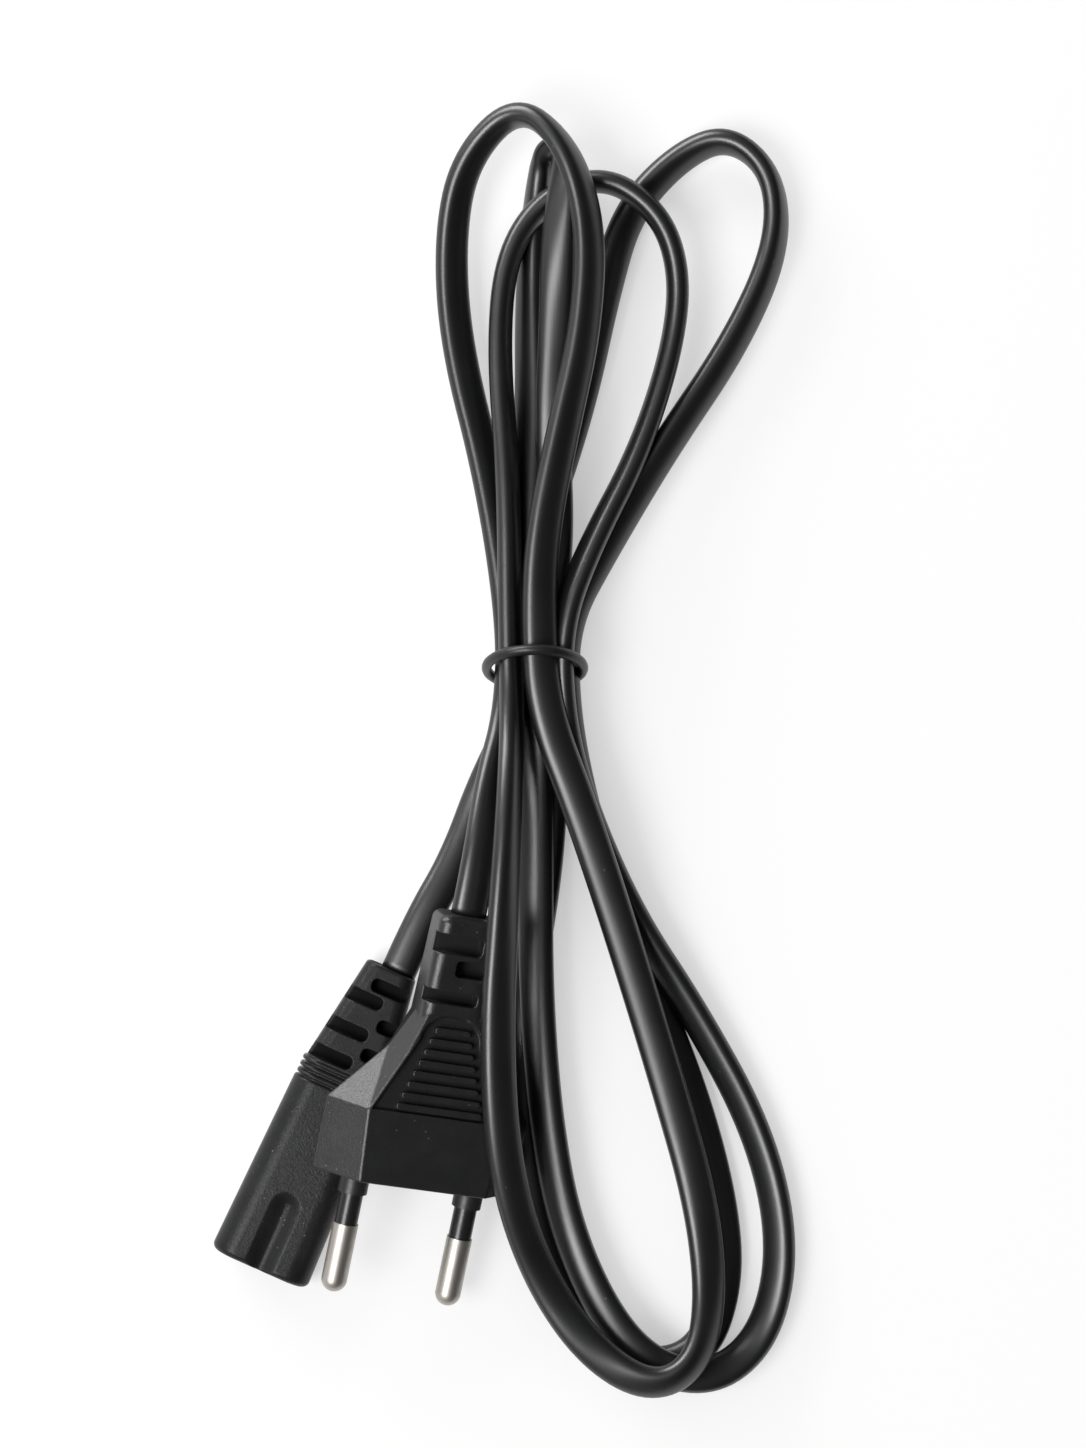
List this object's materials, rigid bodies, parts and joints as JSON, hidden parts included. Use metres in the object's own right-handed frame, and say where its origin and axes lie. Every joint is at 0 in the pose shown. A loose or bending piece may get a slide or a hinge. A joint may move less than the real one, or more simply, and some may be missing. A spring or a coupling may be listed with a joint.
{
  "type": "power cord",
  "caption": "Flat mains lead wound into a hank and held by a tie ring, with a European mains plug at one end and a figure-of-eight appliance connector at the other.",
  "frame": {"origin": "middle of the part's outline on the floor it lies on", "axes": "+Y along the hank towards its upper loops, away from the plug and the connector; +Z up from the floor; +X to the right when seen from above with +Y up"},
  "size_m": [0.0909, 0.2006, 0.0223],
  "materials": {
    "flex": "satin black soft PVC",
    "tie": "satin black",
    "moulding": "matte black soft PVC with a fine eroded texture",
    "insert": "matte black hard plastic",
    "sleeve": "smooth black plastic",
    "pin": "bright nickel plate",
    "contact": "bare spring brass",
    "wire_brown": "smooth brown insulation",
    "wire_blue": "smooth blue insulation"
  },
  "bodies": {
    "root": {"flex_cord": "flex", "tie_ring": "tie", "plug_body": "moulding", "pin_bridge": "insert", "plug_pin_left": "pin", "plug_pin_right": "pin", "pin_sleeve_left": "sleeve", "pin_sleeve_right": "sleeve", "plug_wire_brown": "wire_brown", "plug_wire_blue": "wire_blue", "connector_body": "moulding", "connector_core": "insert", "contact_left": "contact", "contact_right": "contact", "connector_wire_brown": "wire_brown", "connector_wire_blue": "wire_blue"}
  },
  "joints": []
}
